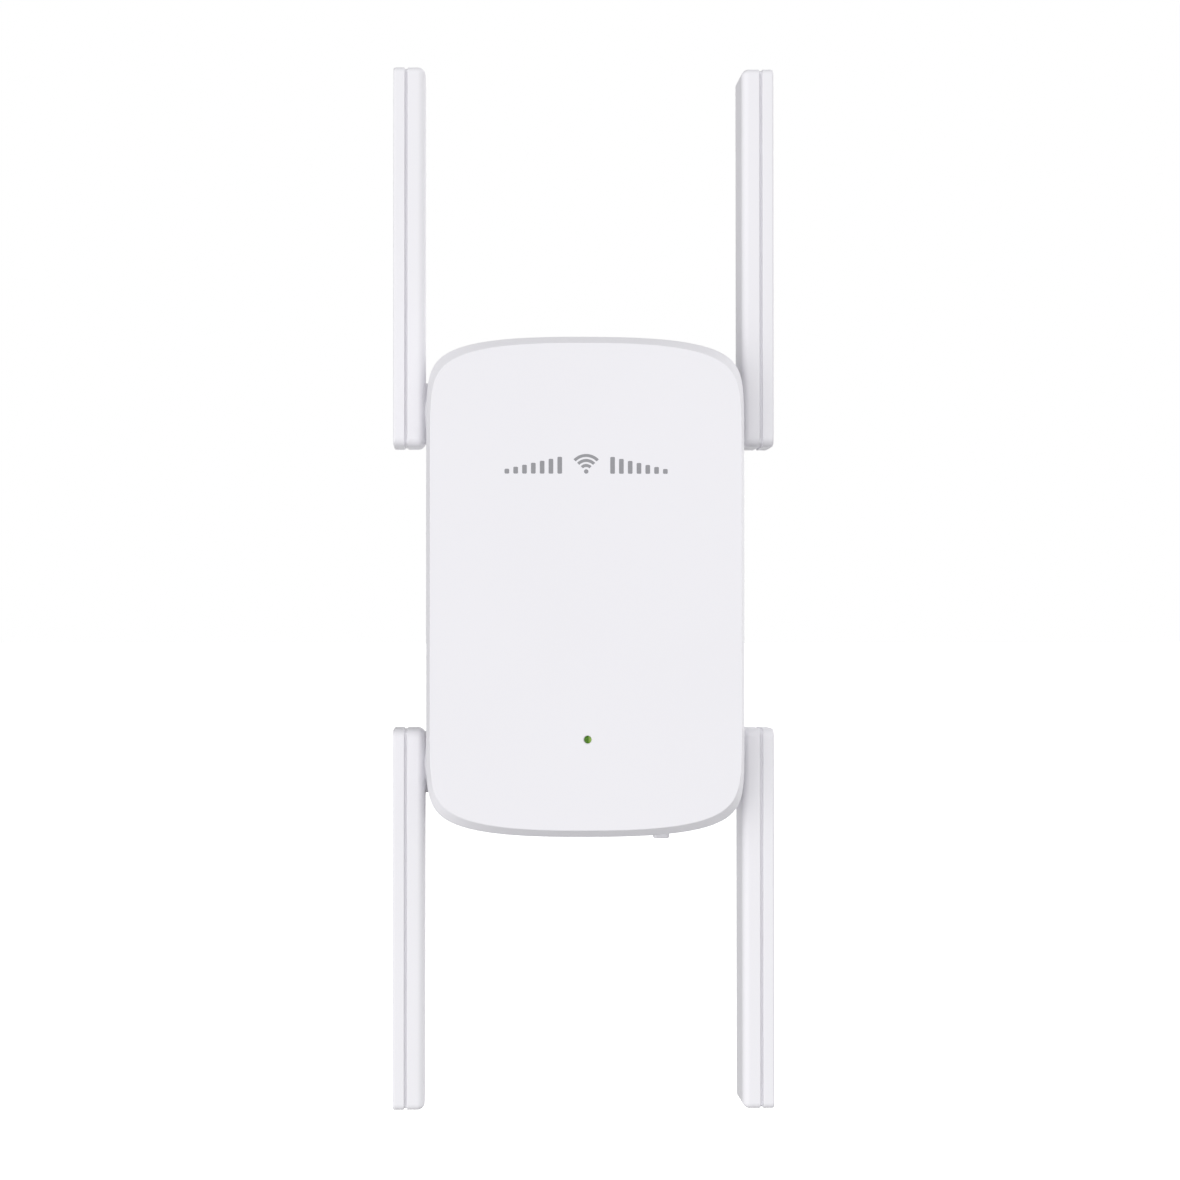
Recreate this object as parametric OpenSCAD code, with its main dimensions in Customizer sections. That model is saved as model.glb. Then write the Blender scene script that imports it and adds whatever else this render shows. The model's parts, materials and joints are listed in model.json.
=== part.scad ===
// Plug-in wifi range extender with four hinged paddle antennas, in millimetres.
// +Z is up and the front faces -Y. The origin is the middle of the plug's engagement face.

/* [Body] */
// Width across the front cover
body_w = 80; // [79.6:0.2:84]
// Height of the front cover at its middle
body_h = 125.6; // [125.2:0.2:132]
// Depth from the front face to the back face
body_d = 36; // [36:0.5:42]
// Depth of the front cover's rim
cover_d = 10.5; // [10:0.25:10.75]
// Width of the sloped border at the top and bottom of the front face
border_w = 1.8; // [1:0.1:2.2]
// Thickness of the front cover's wall
wall = 2; // [1.6:0.1:2.1]

/* [Antennas] */
// Length of an antenna blade from root to tip
blade_len = 96.4; // [80:0.2:120]
// Width of a blade, seen from the side
blade_w = 18; // [17:0.5:18]
// Thickness of a blade, seen from the front
blade_t = 8.2; // [8:0.1:9]
// Height of the hinge axes above and below the plug
hinge_z = 44.5; // [43.5:0.25:44.75]
// Gap between the body's widest line and a blade
blade_gap = 0.2; // [0.2:0.05:1]
// Width of the groove where the two halves of a blade meet
groove_w = 0.7; // [0.4:0.1:1.2]

/* [Plug] */
// Height of the plug base that enters a recessed socket
plug_base_h = 18; // [17.5:0.1:20]
// Distance between the two pins
pin_spacing = 19; // [18:0.1:19.2]
// Radius of a pin's bare tip
pin_r = 2; // [1.97:0.01:2.03]

/* [Button and light] */
// Place of the push button along the bottom edge
button_x = 19.8; // [18:0.1:20]
// Travel of the push button
button_travel = 0.4; // [0.2:0.05:0.5]
// Place of the status light across the front face
light_x = 0.4; // [-1:0.1:1]
// Height of the status light above the plug's middle
light_z = -38.2; // [-39:0.1:-32]
// Radius of the status light
light_r = 0.9; // [0.7:0.05:1.2]

/* [Hidden] */

$fn = 48;
cut = 0.5;          // how far a cutter runs past a surface
thin = 0.01;        // thickness of a slice inside a hull
shell_white = "#F1F0F5";
board_green = "#1F6B3A";
steel = "#B9BCC2";
gold = "#C9A24A";
black = "#26272B";

// Depth planes, from the front to the back
back_y = -plug_base_h;
front_y = back_y - body_d;
seam_y = front_y + cover_d;
hinge_y = back_y - 15;
main_rear_y = seam_y + 1.9;
main_front_y = main_rear_y - 1.2;
power_front_y = back_y - 6.5;
power_rear_y = power_front_y + 1.6;
floor_y = back_y - 2.2;

// Half-sizes of the nested outlines, which are all superellipses
outline_n = 88;
side_power = 2.6;
end_power = 17;
face_fade = 2;      // how much rounder than the sides the face's corners are, as a power
cover_half = [body_w / 2, body_h / 2];
cover_draft = 0.1;
border = [border_w / 2, border_w];
cavity_half = cover_half - [wall, wall];
fit_gap = 0.2;
lip_half = cavity_half - [fit_gap, fit_gap];
lip_len = 3;
seam_gap = 0.3;
housing_half = cover_half - [1.4, 0.6];
housing_cavity_half = lip_half - [1.3, 1];
housing_edge_r = 4;
housing_draft = 0.3;
board_half = housing_cavity_half - [1.5, 1.2];

// Snap ridges that hold the cover on the housing's lip
ridge_len = 6;
ridge_w = 1;
ridge_y = seam_y - 1.6;
ridge_side_z = 20;

// Antenna hinges
blade_x0 = body_w / 2 + blade_gap;
blade_x1 = blade_x0 + blade_t;
blade_root = 8.7;
blade_wall = 1.8;
blade_skin = 1.3;
outer_strip = 2.9;
groove_x = blade_x1 - outer_strip - groove_w;
groove_d = 1;
groove_end_d = 0.35;
inner_edge_r = 2;
outer_edge_r = 0.6;
root_r = 2.4;
tip_r = 1.6;
seat_x = housing_half[0];
seat_r = 8.3;
seat_len = 4;
boss_r = 7.9;
boss_gap = 0.1;
spindle_r = 4.52;
spindle_bore_r = 2.6;
spindle_clearance = 0.08;
ring_r = 6.5;
ring_t = 0.8;
clip_r = 6;
clip_t = 0.8;
clip_groove_r = 3.6;
end_play = 0.05;
ring_x = seat_x - seat_len - end_play - ring_t;
clip_x = ring_x - end_play - clip_t;
spindle_end_x = clip_x - 1.5;
stop_r = [5.8, 7];
stop_h = 0.9;
stop_half_angle = 8;
stop_play = 0.5;
stop_start = 225;
hinge_travel = 90;
coax_r = 0.69;
coax_bend_r = 3;

// Plug
pin_core_r = 1.3;
pin_tail_r = 0.8;
sleeve_r = 1.75;
sleeve_len = 10;
sleeve_embed = 3;
pin_len = 19;
nose_len = 1;
plug_len = 35.3;
plug_w = 13.7;
flange_t = 1.4;
flange_rim = 1.5;
tail_hole_r = 0.9;

// Posts and screws
post_at = [29, 28];
post_r = 2.8;
standoff_at = [21, 27];
standoff_r = 2.5;
pilot_r = 0.9;
pilot_len = 9;
screw_r = 0.88;
screw_head_r = 2.1;
screw_head_h = 1.3;
screw_len = 8;
screw_hole_r = 1.2;

// Ethernet jack, whose mouth faces down
jack_x = -10;
jack_size = [16, 13.4, 21];
jack_mouth_z = -(housing_half[1] - 0.8);
jack_skin = 0.35;
jack_window_gap = 0.3;
contact_pitch = 1.02;
contact_count = 8;

// Push button and its switch
button_y = main_rear_y + 3.6;
button_size = [4.1, 3];
button_r = 0.9;
button_gap = 0.15;
button_stand_out = 1.7;
button_flange = [5.8, 5, 0.8];
flange_z = -(housing_cavity_half[1] - 1.5);
plunger_r = 1.5;
plunger_gap = 0.02;
plunger_inside = 1.5;
switch_size = [6.2, 7.2, 4.4];
switch_gap = 1;
switch_z = flange_z + button_flange[2] + button_travel + switch_gap;

// Switching transformer
transformer_at = [12, -15];
core_size = [16, 13, 12];
core_window = [11, 3];
core_leg = 4;

// Points of a superellipse with the given half-width and half-height. A lower power rounds its
// corners more.
function outline(half, power = end_power) = [
    for (i = [0 : outline_n - 1])
        let (t = 360 * i / outline_n, c = cos(t), s = sin(t))
        [
            sign(c) * half[0] * pow(abs(c), 2 / side_power),
            sign(s) * half[1] * pow(abs(s), 2 / power)
        ]
];

// Points of a rectangle whose lower and upper corners have their own radii
function round_rect(u0, u1, v0, v1, low_r, high_r, steps = 6) = [
    for (corner = [[u1, v0, low_r, 270], [u1, v1, high_r, 0], [u0, v1, high_r, 90], [u0, v0, low_r, 180]])
        let (
            r = corner[2],
            cu = corner[0] + (corner[0] == u1 ? -r : r),
            cv = corner[1] + (corner[1] == v1 ? -r : r)
        )
        for (i = [0 : steps])
            let (a = corner[3] + 90 * i / steps)
            [cu + r * cos(a), cv + r * sin(a)]
];

// A blade's side outline, drawn in from its edge by inset, or by end_inset at the root and the tip
function blade_outline(inset, end_inset) =
    let (end = is_undef(end_inset) ? inset : end_inset)
    round_rect(
        hinge_y - blade_w / 2 + inset,
        hinge_y + blade_w / 2 - inset,
        hinge_z - blade_root + end,
        hinge_z - blade_root + blade_len - end,
        max(root_r - inset, 0.3),
        max(tip_r - inset, 0.3)
    );

// Extrudes an outline drawn in X and Z from a front depth to a rear depth
module slab(y0, y1) {
    translate([0, y1, 0])
        rotate([90, 0, 0])
            linear_extrude(y1 - y0)
                children();
}

// Extrudes an outline drawn in Y and Z along X
module side_slab(x0, x1) {
    translate([x0, 0, 0])
        rotate([90, 0, 90])
            linear_extrude(x1 - x0)
                children();
}

// Cylinder along X, starting at x0
module rod_x(x0, x1, r) {
    translate([x0, 0, 0])
        rotate([0, 90, 0])
            cylinder(h = x1 - x0, r = r);
}

// Cylinder along Y, starting at y0
module rod_y(y0, y1, r) {
    translate([0, y0, 0])
        rotate([-90, 0, 0])
            cylinder(h = y1 - y0, r = r);
}

// Solid through rings of points. The first ring is the one whose points run anticlockwise to a
// viewer outside it, and every ring has as many points as the first.
module loft(rings) {
    n = len(rings[0]);
    last = (len(rings) - 1) * n;
    sides = [
        for (row = [0 : n : last - n])
            for (i = [0 : n - 1])
                let (a = row + i, b = row + (i + 1) % n)
                each [[a, b, b + n], [a, b + n, a + n]]
    ];
    caps = [[for (i = [n - 1 : -1 : 0]) i], [for (i = [0 : n - 1]) last + i]];
    polyhedron(points = [for (ring = rings) each ring], faces = concat(sides, caps));
}

// Ring of the body's outline at one depth
function body_ring(half, y, power = end_power) = [for (p = outline(half, power)) [p[0], y, p[1]]];

// Ring of a blade's side outline at one place along X
function blade_ring(inset, x) = [for (p = blade_outline(inset)) [x, p[0], p[1]]];

// [inset, depth] steps of a rounded edge, from the flat face to the side
function edge_steps(r, steps = 5) = [
    for (i = [0 : steps])
        let (t = 90 * i / steps)
        [r * (1 - sin(t)), r * (1 - cos(t))]
];

// Cover-shaped block: a flat face inside a sloped border, and sides that widen towards the seam.
// The border is widest at the corners, where the face is rounder than the sides.
// The steps are [share of the border's width, depth behind the face].
module cover_block() {
    steps = [[1.1, 0], [1.03, 0.06], [0.95, 0.22], [0.1, 2.7], [0.03, 3], [0, 3.5]];
    side_half = cover_half - [cover_draft, cover_draft];
    loft(concat(
        [
            for (s = steps)
                body_ring(side_half - s[0] * border, front_y + s[1], end_power - s[0] * face_fade)
        ],
        [body_ring(cover_half, seam_y)]
    ));
}

// Housing-shaped block: rounded rear edge, and sides that widen towards the seam
module housing_block() {
    steps = edge_steps(housing_edge_r);
    loft(concat(
        [body_ring(housing_half, seam_y + seam_gap)],
        [
            for (i = [len(steps) - 1 : -1 : 0])
                let (inset = steps[i][0] + housing_draft)
                body_ring(housing_half - [inset, inset], back_y - steps[i][1])
        ]
    ));
}

// Half of a blade, from its flat parting face to its rounded outer edge
module blade_block(parting_x, face_x, r) {
    outward = face_x > parting_x;
    rounded = [
        for (e = edge_steps(r, 4))
            blade_ring(e[0], face_x + (outward ? -1 : 1) * e[1])
    ];
    parting = [blade_ring(0, parting_x)];
    loft(outward
        ? concat(rounded, parting)
        : concat(parting, [for (i = [len(rounded) - 1 : -1 : 0]) rounded[i]])
    );
}

// Puts a part built for the upper right hinge at another hinge
module at_hinge(side, level) {
    mirror([side < 0 ? 1 : 0, 0, 0])
        mirror([0, 0, level < 0 ? 1 : 0])
            children();
}

// Moves a part drawn around the X axis to the upper right hinge axis
module on_hinge_axis() {
    translate([0, hinge_y, hinge_z])
        children();
}

// Repeats a part at the four corners of a rectangle in X and Z
module at_corners(at) {
    for (x = [-at[0], at[0]])
        for (z = [-at[1], at[1]])
            translate([x, 0, z])
                children();
}

// Box on a board's surface: size is along X, away from the board, and along Z
module on_main_rear(x, z, size) {
    translate([x - size[0] / 2, main_rear_y, z - size[2] / 2])
        cube(size);
}

module on_main_front(x, z, size) {
    translate([x - size[0] / 2, main_front_y - size[1], z - size[2] / 2])
        cube(size);
}

module on_power_front(x, z, size) {
    translate([x - size[0] / 2, power_front_y - size[1], z - size[2] / 2])
        cube(size);
}

// Flat-sided oval of the plug, grown by rim
module plug_profile(rim = 0) {
    r = plug_w / 2 + rim;
    reach = (plug_len - plug_w) / 2;
    square([2 * reach, 2 * r], center = true);
    for (x = [-reach, reach])
        translate([x, 0])
            circle(r = r);
}

module button_profile(gap = 0) {
    half = button_size / 2 + [gap, gap];
    polygon(round_rect(-half[0], half[0], -half[1], half[1], button_r + gap, button_r + gap));
}

/* ---- Casing ---- */

// Snap ridges on the inside of the cover's rim, or the windows that they fill
module snap_ridges(grow, depth) {
    length = ridge_len + 2 * grow;
    width = ridge_w + 2 * grow;
    for (side = [-1, 1])
        for (z = [-ridge_side_z, ridge_side_z])
            translate([side * (cavity_half[0] - depth / 2), ridge_y, z])
                cube([depth, width, length], center = true);
    for (end = [-1, 1])
        translate([0, ridge_y, end * (cavity_half[1] - depth / 2)])
            cube([length, width, depth], center = true);
}

module front_cover() {
    ridge_h = 0.65;
    color(shell_white) {
        difference() {
            cover_block();
            slab(front_y + wall, seam_y + cut)
                polygon(outline(cavity_half));
            translate([light_x, 0, light_z])
                rod_y(front_y - cut, front_y + wall + cut, light_r + 0.05);
        }
        intersection() {
            snap_ridges(0, ridge_h);
            slab(front_y + wall, seam_y)
                polygon(outline(cavity_half + [0.1, 0.1]));
        }
    }
}

// Rows of ventilation slots through the back wall, above and below the plug
module vent_slots() {
    rows = 6;
    pitch = 3.6;
    first_z = 19;
    half = [15, 0.8];
    end_r = 0.7;
    for (end = [-1, 1])
        for (i = [0 : rows - 1])
            slab(floor_y - cut, back_y + cut)
                translate([0, end * (first_z + i * pitch)])
                    polygon(round_rect(-half[0], half[0], -half[1], half[1], end_r, end_r));
}

// Short ventilation slots through the top wall
module top_slots() {
    count = 9;
    pitch = 4;
    half = [0.8, 5.5];
    end_r = 0.7;
    for (i = [0 : count - 1])
        translate([(i - (count - 1) / 2) * pitch, hinge_y + 1, housing_cavity_half[1] - 1])
            linear_extrude(5)
                polygon(round_rect(-half[0], half[0], -half[1], half[1], end_r, end_r));
}

// The quarter-turn groove in a hinge seat, which the lug on the boss runs in
module stop_groove() {
    margin = stop_half_angle + stop_play;
    depth = stop_h + boss_gap + 0.1;
    clear = 0.15;
    translate([seat_x - depth, 0, 0])
        rotate([90, 0, 90])
            rotate([0, 0, stop_start - margin])
                rotate_extrude(angle = hinge_travel + 2 * margin)
                    translate([stop_r[0] - clear, 0])
                        square([stop_r[1] - stop_r[0] + 2 * clear, depth + cut]);
}

module rear_housing() {
    slot_reach = 10;
    color(shell_white)
        difference() {
            union() {
                difference() {
                    union() {
                        housing_block();
                        slab(seam_y - lip_len, seam_y + seam_gap + thin)
                            polygon(outline(lip_half));
                    }
                    slab(seam_y - lip_len - cut, floor_y)
                        polygon(outline(housing_cavity_half));
                }
                for (side = [-1, 1])
                    for (level = [-1, 1])
                        at_hinge(side, level)
                            on_hinge_axis()
                                rod_x(seat_x - seat_len, seat_x, seat_r);
                at_corners(post_at)
                    rod_y(main_rear_y, floor_y + thin, post_r);
                at_corners(standoff_at)
                    rod_y(power_rear_y, floor_y + thin, standoff_r);
            }
            for (side = [-1, 1])
                for (level = [-1, 1])
                    at_hinge(side, level)
                        on_hinge_axis() {
                            rod_x(seat_x - slot_reach, seat_x + cut, spindle_r + spindle_clearance);
                            stop_groove();
                        }
            at_corners(post_at)
                rod_y(main_rear_y - cut, main_rear_y + pilot_len, pilot_r);
            at_corners(standoff_at)
                rod_y(power_rear_y - cut, back_y - 0.7, pilot_r);
            snap_ridges(0.3, 3);
            slab(floor_y - cut, back_y + cut)
                plug_profile(0.05);
            translate([jack_x - jack_size[0] / 2 - jack_window_gap, main_rear_y - jack_window_gap, -body_h])
                cube([
                    jack_size[0] + 2 * jack_window_gap,
                    jack_size[1] + 2 * jack_window_gap,
                    body_h + jack_mouth_z + slot_reach
                ]);
            translate([button_x, button_y, -body_h])
                linear_extrude(body_h + flange_z)
                    button_profile(button_gap);
            vent_slots();
            top_slots();
        }
}

/* ---- Plug ---- */

module plug_base() {
    color(shell_white)
        difference() {
            union() {
                slab(floor_y, 0)
                    plug_profile();
                slab(floor_y - flange_t, floor_y)
                    plug_profile(flange_rim);
            }
            for (side = [-1, 1])
                translate([side * pin_spacing / 2, 0, 0]) {
                    rod_y(floor_y - flange_t - cut, cut, pin_core_r);
                    rod_y(-sleeve_embed, cut, sleeve_r);
                }
        }
}

module plug_pins() {
    tip_y = pin_len - nose_len;
    tail_y = power_front_y - 1;
    color(steel)
        for (side = [-1, 1])
            translate([side * pin_spacing / 2, 0, 0]) {
                rod_y(tail_y, floor_y - flange_t + thin, pin_tail_r);
                rod_y(floor_y - flange_t, sleeve_len + thin, pin_core_r);
                rod_y(sleeve_len, tip_y, pin_r);
                translate([0, tip_y, 0])
                    rotate([-90, 0, 0])
                        cylinder(h = nose_len, r1 = pin_r, r2 = pin_r * 0.55);
            }
}

module pin_sleeves() {
    color(black)
        for (side = [-1, 1])
            translate([side * pin_spacing / 2, 0, 0])
                difference() {
                    rod_y(-sleeve_embed, sleeve_len, sleeve_r);
                    rod_y(-sleeve_embed - cut, sleeve_len + cut, pin_core_r);
                }
}

/* ---- Boards and screws ---- */

module main_board() {
    color(board_green)
        difference() {
            slab(main_front_y, main_rear_y)
                polygon(outline(board_half));
            at_corners(post_at)
                rod_y(main_front_y - cut, main_rear_y + cut, screw_hole_r);
        }
}

module power_board() {
    half = [25, 31];
    corner_r = 1.5;
    color(board_green)
        difference() {
            slab(power_front_y, power_rear_y)
                polygon(round_rect(-half[0], half[0], -half[1], half[1], corner_r, corner_r));
            at_corners(standoff_at)
                rod_y(power_front_y - cut, power_rear_y + cut, screw_hole_r);
            for (side = [-1, 1])
                translate([side * pin_spacing / 2, 0, 0])
                    rod_y(power_front_y - cut, power_rear_y + cut, tail_hole_r);
        }
}

// Pan-head screw driven towards the back, with its head on the given plane
module board_screw(seat_y, length) {
    slot = [2.6, 0.5, 0.5];
    difference() {
        union() {
            rod_y(seat_y - screw_head_h, seat_y, screw_head_r);
            rod_y(seat_y - thin, seat_y + length, screw_r);
        }
        for (turn = [0, 90])
            translate([0, seat_y - screw_head_h, 0])
                rotate([0, turn, 0])
                    cube([slot[0], 2 * slot[1], slot[2]], center = true);
    }
}

module board_screws() {
    short = back_y - 1.2 - power_front_y;
    color(steel) {
        at_corners(post_at)
            board_screw(main_front_y, screw_len);
        at_corners(standoff_at)
            board_screw(power_front_y, short);
    }
}

/* ---- Network side ---- */

module ethernet_jack() {
    color(steel)
        translate([jack_x - jack_size[0] / 2, main_rear_y, jack_mouth_z])
            difference() {
                cube(jack_size);
                translate([jack_skin, jack_skin, -cut])
                    cube([
                        jack_size[0] - 2 * jack_skin,
                        jack_size[1] - 2 * jack_skin,
                        jack_size[2] - jack_skin + cut
                    ]);
            }
}

module jack_insert() {
    size = jack_size - [2 * jack_skin, 2 * jack_skin, jack_skin + 0.3];
    mouth = [12, 9.4, 15.7];
    latch = [6.2, 1.6];
    mouth_y = 0.65;
    color(black)
        translate([jack_x - size[0] / 2, main_rear_y + jack_skin, jack_mouth_z + 0.3])
            difference() {
                cube(size);
                translate([(size[0] - mouth[0]) / 2, mouth_y, -cut])
                    cube(mouth + [0, 0, cut]);
                translate([(size[0] - latch[0]) / 2, mouth_y + mouth[1] - thin, -cut])
                    cube([latch[0], latch[1] + thin, mouth[2] + cut]);
            }
}

module jack_contacts() {
    wire_r = 0.22;
    length = 11;
    lean = 3;
    root_z = jack_mouth_z + 15.6;
    root_y = main_rear_y + 1.27;
    color(gold)
        for (i = [0 : contact_count - 1])
            translate([jack_x + (i - (contact_count - 1) / 2) * contact_pitch, root_y, root_z])
                rotate([180 + lean, 0, 0])
                    cylinder(h = length, r = wire_r, $fn = 16);
}

module lan_transformer() {
    color(black)
        on_main_rear(jack_x, jack_mouth_z + jack_size[2] + 8, [13, 6, 8]);
}

module wifi_processor() {
    color(black)
        on_main_front(0, 4, [15, 1.4, 15]);
}

module heat_sink() {
    side = 30;
    base_t = 1.2;
    fin_h = 3.6;
    fin_t = 1;
    fins = 8;
    base_y = main_front_y - 1.4;
    color("#A9ADB3")
        translate([-side / 2, base_y, 4 - side / 2]) {
            translate([0, -base_t, 0])
                cube([side, base_t, side]);
            for (i = [0 : fins - 1])
                translate([i * (side - fin_t) / (fins - 1), -base_t - fin_h, 0])
                    cube([fin_t, fin_h + thin, side]);
        }
}

module memory_chip() {
    color(black)
        on_main_front(-12, -22, [12, 1.1, 8]);
}

module radio_shields() {
    can = [22, 2.4, 26];
    skin = 0.3;
    color(steel)
        for (side = [-1, 1])
            difference() {
                on_main_front(side * 14, 36, can);
                translate([0, skin, 0])
                    on_main_front(side * 14, 36, can - [2 * skin, 0, 2 * skin]);
            }
}

module status_led() {
    color("#F4F4EE")
        on_main_front(light_x, light_z, [3.5, 1.9, 2.8]);
}

module light_pipe() {
    foot_r = 1.8;
    foot_len = 1.6;
    start_y = main_front_y - 2;
    color("#D8F2D0", 0.6)
        translate([light_x, 0, light_z]) {
            rod_y(front_y, start_y, light_r);
            rod_y(start_y - foot_len, start_y, foot_r);
        }
}

module coax_plugs() {
    plug_r = 1.6;
    plug_h = 1.3;
    color(gold)
        at_corners([24, hinge_z])
            rod_y(main_rear_y, main_rear_y + plug_h, plug_r);
}

// The lead from each hinge to its plug: along the hinge axis, then forward to the board
module coax_tails() {
    plug_x = 24;
    plug_top_y = main_rear_y + 1.3;
    color(black)
        for (side = [-1, 1])
            for (level = [-1, 1])
                at_hinge(side, level)
                    on_hinge_axis() {
                        rod_x(plug_x + coax_bend_r, spindle_end_x - 0.05, coax_r);
                        translate([plug_x + coax_bend_r, -coax_bend_r, 0])
                            rotate([0, 0, 90])
                                rotate_extrude(angle = 90)
                                    translate([coax_bend_r, 0])
                                        circle(r = coax_r);
                        translate([plug_x, 0, 0])
                            rod_y(plug_top_y - hinge_y, -coax_bend_r, coax_r);
                    }
}

/* ---- Button ---- */

module tact_switch() {
    bore = plunger_r + 0.08;
    bore_depth = plunger_inside + button_travel + 0.3;
    color(black)
        difference() {
            translate([button_x - switch_size[0] / 2, main_rear_y, switch_z])
                cube(switch_size);
            translate([button_x, button_y, switch_z - cut])
                cylinder(h = bore_depth + cut, r = bore);
        }
}

module switch_plunger() {
    tip_z = flange_z + button_flange[2] + plunger_gap;
    color("#E8E4D8")
        translate([button_x, button_y, tip_z])
            cylinder(h = switch_z + plunger_inside - tip_z, r = plunger_r);
}

module button_cap() {
    tip_z = -(housing_half[1] + button_stand_out);
    color(shell_white)
        translate([button_x, button_y, 0]) {
            translate([0, 0, tip_z])
                linear_extrude(flange_z - tip_z + thin)
                    button_profile();
            translate([-button_flange[0] / 2, -button_flange[1] / 2, flange_z])
                cube(button_flange);
        }
}

/* ---- Power supply ---- */

module board_header() {
    base = [10.2, 2.5, 2.5];
    color(black)
        difference() {
            on_power_front(8, 26, base);
            header_posts(0.7);
        }
}

// Square posts between the two boards
module header_posts(width) {
    count = 4;
    pitch = 2.54;
    for (i = [0 : count - 1])
        translate([8 + (i - (count - 1) / 2) * pitch, (main_rear_y + power_front_y) / 2, 26])
            cube([width, power_front_y - main_rear_y, width], center = true);
}

module header_pins() {
    color(gold)
        header_posts(0.64);
}

module mains_fuse() {
    color("#3A3330")
        on_power_front(-18, 14, [8, 7.5, 4]);
}

// Disc on edge, standing on the power board
module disc_part(x, z, r, thickness) {
    translate([x - thickness / 2, power_front_y - r, z])
        rod_x(0, thickness, r);
}

module surge_absorber() {
    color("#2B5FA8")
        disc_part(-7, 15, 4.6, 3.6);
}

module safety_capacitor() {
    color("#3C78B8")
        disc_part(0, -4, 4, 3);
}

module bridge_rectifier() {
    color(black)
        on_power_front(-18, -20, [6.4, 2.5, 5]);
}

// Electrolytic can standing on the power board, with a bead rolled in near its foot
module can_part(x, z, r, height) {
    bead_r = 0.5;
    translate([x, power_front_y, z])
        rotate([90, 0, 0])
            rotate_extrude()
                difference() {
                    square([r, height]);
                    translate([r + bead_r * 0.4, 1.8])
                        circle(r = bead_r, $fn = 24);
                }
}

module input_capacitors() {
    color("#2E3440") {
        can_part(-18, -9, 4.1, 13);
        can_part(-18, 2, 4.1, 13);
    }
}

module output_capacitor() {
    color("#2E3440")
        can_part(18, 5, 4, 12);
}

module mains_choke() {
    ring_mid_r = 3.4;
    coil_r = 1.8;
    color("#B4762C")
        translate([-8, power_front_y - coil_r, -18])
            rotate([90, 0, 0])
                rotate_extrude()
                    translate([ring_mid_r, 0])
                        circle(r = coil_r);
}

module power_controller() {
    color(black)
        on_power_front(10, 16, [5, 1.5, 4]);
}

module optocoupler() {
    color("#F2F2F2")
        on_power_front(3, 9, [4.6, 3.4, 6.5]);
}

// Ferrite core with a window on each side of its middle leg
module transformer_core() {
    color("#3B3B40")
        difference() {
            on_power_front(transformer_at[0], transformer_at[1], core_size);
            for (side = [-1, 1])
                on_transformer()
                    translate([0, side * (core_leg + core_window[1]) / 2, 0])
                        cube([core_window[0], core_window[1], core_size[2] + 2 * cut], center = true);
        }
}

// Coil around the core's middle leg, which fills both windows
module transformer_winding() {
    gap = 0.1;
    build = core_window[1] - 2 * gap;
    inner = [core_leg + 2 * gap, core_size[2] + 2 * gap];
    color("#D9B44A")
        on_transformer()
            difference() {
                cube([core_window[0] - 2 * gap, inner[0] + 2 * build, inner[1] + 2 * build], center = true);
                cube([core_window[0] + 2 * cut, inner[0], inner[1]], center = true);
            }
}

module on_transformer() {
    translate([transformer_at[0], power_front_y - core_size[1] / 2, transformer_at[1]])
        children();
}

/* ---- Antennas ---- */

module outer_shell() {
    rim_x = groove_x + groove_w;
    rim_t = 0.8;
    rim_inset = blade_wall + 0.05;
    color(shell_white)
        difference() {
            union() {
                blade_block(rim_x, blade_x1, outer_edge_r);
                side_slab(groove_x, rim_x + cut)
                    polygon(blade_outline(rim_inset));
            }
            side_slab(groove_x - cut, blade_x1 - blade_skin)
                polygon(blade_outline(rim_inset + rim_t));
        }
}

module inner_shell() {
    rib_at = [30, 70];
    rib_t = 1.2;
    skin_x = blade_x0 + blade_skin;
    radiator_x = skin_x + 1.5;
    embed = 0.3;
    color(shell_white)
        difference() {
            union() {
                difference() {
                    union() {
                        blade_block(groove_x, blade_x0, inner_edge_r);
                        side_slab(groove_x - cut, groove_x + groove_w)
                            polygon(blade_outline(groove_d, groove_end_d));
                    }
                    side_slab(skin_x, groove_x + groove_w + cut)
                        polygon(blade_outline(blade_wall));
                }
                for (up = rib_at)
                    translate([skin_x - embed, hinge_y - blade_w / 2 + blade_wall - embed, hinge_z + up])
                        cube([radiator_x - skin_x + embed, blade_w - 2 * (blade_wall - embed), rib_t]);
                on_hinge_axis() {
                    rod_x(seat_x + boss_gap, skin_x, boss_r);
                    rod_x(spindle_end_x, skin_x, spindle_r);
                    stop_lug();
                }
            }
            on_hinge_axis() {
                rod_x(spindle_end_x - cut, skin_x + cut, spindle_bore_r);
                difference() {
                    rod_x(clip_x - end_play, clip_x + clip_t + end_play, spindle_r + cut);
                    rod_x(clip_x - 1, clip_x + clip_t + 1, clip_groove_r);
                }
            }
        }
}

// Lug on the boss that meets the ends of the stop groove
module stop_lug() {
    translate([seat_x + boss_gap - stop_h, 0, 0])
        rotate([90, 0, 90])
            rotate([0, 0, stop_start - stop_half_angle])
                rotate_extrude(angle = 2 * stop_half_angle)
                    translate([stop_r[0], 0])
                        square([stop_r[1] - stop_r[0], stop_h + thin]);
}

// Printed dipole board on the two ribs inside a blade
module radiator() {
    x = blade_x0 + blade_skin + 1.5;
    thickness = 0.8;
    half_w = 6;
    low = 16;
    high = blade_len - blade_root - blade_wall - 3;
    slot_w = 1.2;
    color(board_green)
        difference() {
            side_slab(x, x + thickness)
                polygon(round_rect(hinge_y - half_w, hinge_y + half_w, hinge_z + low, hinge_z + high, 1, 1));
            for (side = [-1, 1])
                translate([x - cut, hinge_y + side * 3.6 - slot_w / 2, hinge_z + low + 18])
                    cube([thickness + 2 * cut, slot_w, 22]);
        }
}

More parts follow.
